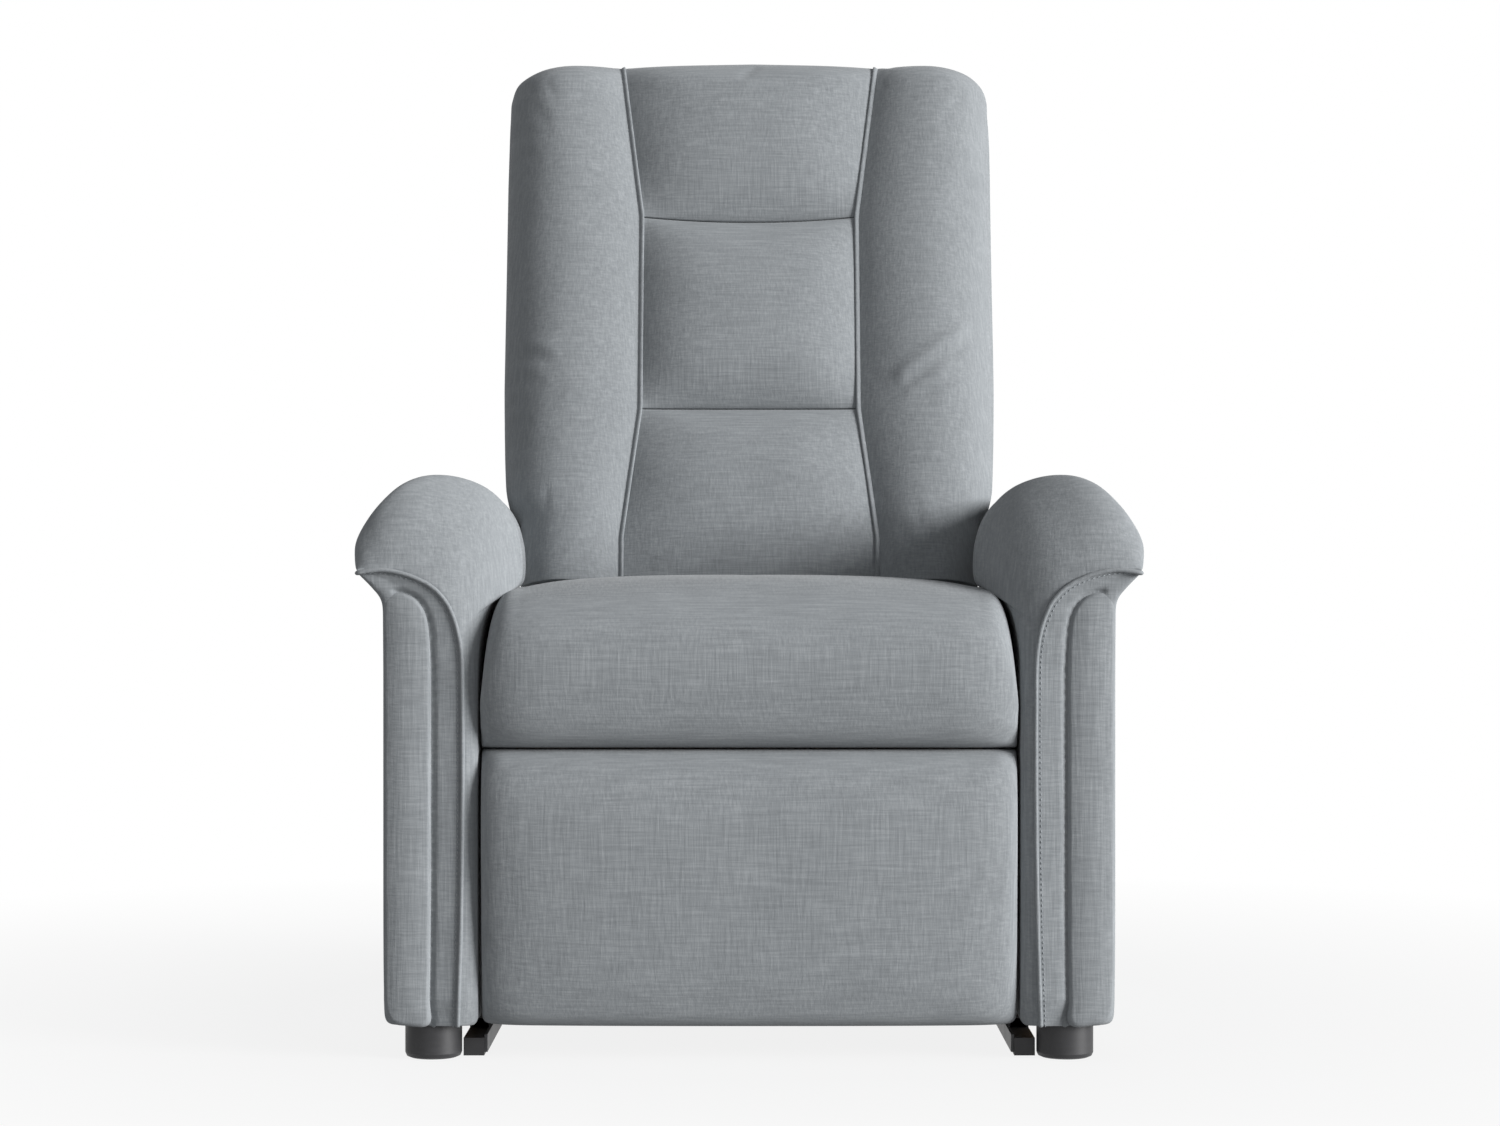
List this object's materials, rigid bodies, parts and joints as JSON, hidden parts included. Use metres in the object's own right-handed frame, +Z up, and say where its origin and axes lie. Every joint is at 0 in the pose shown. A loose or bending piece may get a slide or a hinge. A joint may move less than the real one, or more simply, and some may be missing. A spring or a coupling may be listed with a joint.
{
  "type": "lift recliner chair",
  "caption": "Upholstered powered chair: four-bar lift base that raises and tilts the seat, reclining divided back and fold-out footrest.",
  "frame": {"origin": "centre of the chair's box at floor level, upright with the footrest folded", "axes": "+Z up, -Y the way the sitter faces, +X across the chair"},
  "size_m": [0.756, 0.838, 1.0589],
  "materials": {
    "upholstery": "grey linen-weave upholstery",
    "black_steel": "satin black powder coat",
    "zinc_steel": "zinc-plated steel",
    "black_plastic": "matte black moulded plastic",
    "timber": "plain sawn softwood and plywood",
    "webbing": "woven elastic webbing"
  },
  "bodies": {
    "base": {"base_frame": "black_steel", "base_side_plate_left": "black_steel", "base_side_plate_right": "black_steel", "base_glides": "black_plastic", "base_pivot_pins": "zinc_steel"},
    "lift_arms": {"lift_link_left": "black_steel", "lift_link_right": "black_steel", "lift_torque_tube": "black_steel", "lift_lever_pin": "zinc_steel"},
    "guide_links": {"guide_link_left": "black_steel", "guide_link_right": "black_steel"},
    "lift_motor_unit": {"lift_motor": "black_plastic"},
    "lift_rod_unit": {"lift_rod": "zinc_steel"},
    "footrest_rod_unit": {"footrest_rod": "zinc_steel"},
    "recline_motor_unit": {"recline_motor": "black_plastic"},
    "recline_rod_unit": {"recline_rod": "zinc_steel"},
    "back": {"back_frame": "timber", "back_webbing": "webbing", "back_rear_panel": "upholstery", "back_brackets": "black_steel", "headrest_cushion": "upholstery", "centre_cushion": "upholstery", "lower_cushion": "upholstery", "back_bolster_left": "upholstery", "back_bolster_right": "upholstery"},
    "swing": {"footrest_drive_tube": "black_steel", "swing_link_left": "black_steel", "swing_link_right": "black_steel", "swing_pins": "zinc_steel"},
    "extend": {"extend_links": "black_steel", "extend_pins": "zinc_steel"},
    "control": {"control_links": "black_steel"},
    "tilt": {"tilt_links": "black_steel"},
    "footrest": {"footrest_brackets": "black_steel", "footrest_pins": "zinc_steel", "footrest_board": "timber", "footrest_pad": "upholstery"},
    "chassis": {"chassis_plate_left": "black_steel", "chassis_plate_right": "black_steel", "chassis_cross_tubes": "black_steel", "chassis_pivot_pins": "zinc_steel", "chassis_bolts": "zinc_steel", "seat_frame": "timber", "seat_springs": "zinc_steel", "seat_spring_clips": "black_steel", "seat_cushion": "upholstery", "arm_frame_left": "timber", "arm_frame_right": "timber", "arm_inner_left": "upholstery", "arm_inner_right": "upholstery", "arm_outer_left": "upholstery", "arm_outer_right": "upholstery", "arm_front_left": "upholstery", "arm_front_right": "upholstery", "arm_pad_left": "upholstery", "arm_pad_right": "upholstery", "arm_feet": "black_plastic", "power_box": "black_plastic", "footrest_motor": "black_plastic"}
  },
  "joints": [
    {"name": "lift", "type": "hinge", "parent": "base", "child": "lift_arms", "pos_m": [0, -0.16903, 0.062], "axis": [1, 0, 0], "range_deg": [0, 66]},
    {"name": "lift_tilt", "type": "hinge", "parent": "lift_arms", "child": "chassis", "pos_m": [0, 0.07354, 0.12248], "axis": [1, 0, 0], "range_deg": [-44.01, 0]},
    {"name": "lift_guide", "type": "hinge", "parent": "base", "child": "guide_links", "pos_m": [0, -0.11613, 0.0919], "axis": [1, 0, 0], "range_deg": [0, 59.15]},
    {"name": "lift_motor_pivot", "type": "hinge", "parent": "base", "child": "lift_motor_unit", "pos_m": [0, 0.30097, 0.06], "axis": [1, 0, 0], "range_deg": [0, 2.15]},
    {"name": "lift_rod_slide", "type": "slide", "parent": "lift_motor_unit", "child": "lift_rod_unit", "axis": [0, -0.9907, 0.1361], "range_m": [0, 0.06335]},
    {"name": "recline", "type": "hinge", "parent": "chassis", "child": "back", "pos_m": [0, 0.17097, 0.33], "axis": [-1, 0, 0], "range_deg": [0, 40]},
    {"name": "recline_motor_pivot", "type": "hinge", "parent": "chassis", "child": "recline_motor_unit", "pos_m": [0, -0.06903, 0.215], "axis": [1, 0, 0], "range_deg": [0, 0.21]},
    {"name": "recline_rod_slide", "type": "slide", "parent": "recline_motor_unit", "child": "recline_rod_unit", "axis": [0, 0.9982, 0.0601], "range_m": [-0.07062, 0]},
    {"name": "footrest_swing", "type": "hinge", "parent": "chassis", "child": "swing", "pos_m": [0, -0.27723, 0.2741], "axis": [-1, 0, 0], "range_deg": [0, 101.4]},
    {"name": "footrest_extend", "type": "hinge", "parent": "swing", "child": "extend", "pos_m": [0, -0.13593, 0.0985], "axis": [-1, 0, 0], "range_deg": [-101.4, 0]},
    {"name": "footrest_control", "type": "hinge", "parent": "chassis", "child": "control", "pos_m": [0, -0.32123, 0.2835], "axis": [-1, 0, 0], "range_deg": [0, 101.4]},
    {"name": "footrest_tilt", "type": "hinge", "parent": "swing", "child": "tilt", "pos_m": [0, -0.14233, 0.1327], "axis": [-1, 0, 0], "range_deg": [-101.95, 0]},
    {"name": "footrest_panel_turn", "type": "hinge", "parent": "extend", "child": "footrest", "pos_m": [0, -0.32683, 0.1635], "axis": [-1, 0, 0], "range_deg": [0, 88]},
    {"name": "footrest_rod_slide", "type": "slide", "parent": "chassis", "child": "footrest_rod_unit", "axis": [0, -1, 0], "range_m": [0, 0.0801]}
  ],
  "couplings": [
    {"joint": "lift_tilt", "follows": "lift", "ratio": -0.66667},
    {"joint": "lift_guide", "follows": "lift", "ratio": 0.896},
    {"joint": "lift_motor_pivot", "follows": "lift", "ratio": 0.032212},
    {"joint": "lift_rod_slide", "follows": "lift", "m_per_rad": 0.054978},
    {"joint": "recline_motor_pivot", "follows": "recline", "ratio": 0.005125},
    {"joint": "recline_rod_slide", "follows": "recline", "m_per_rad": -0.1011},
    {"joint": "footrest_extend", "follows": "footrest_swing", "ratio": -1},
    {"joint": "footrest_control", "follows": "footrest_swing", "ratio": 1},
    {"joint": "footrest_tilt", "follows": "footrest_swing", "ratio": -1.0053},
    {"joint": "footrest_panel_turn", "follows": "footrest_swing", "ratio": 0.86785},
    {"joint": "footrest_rod_slide", "follows": "footrest_swing", "m_per_rad": 0.045255}
  ]
}
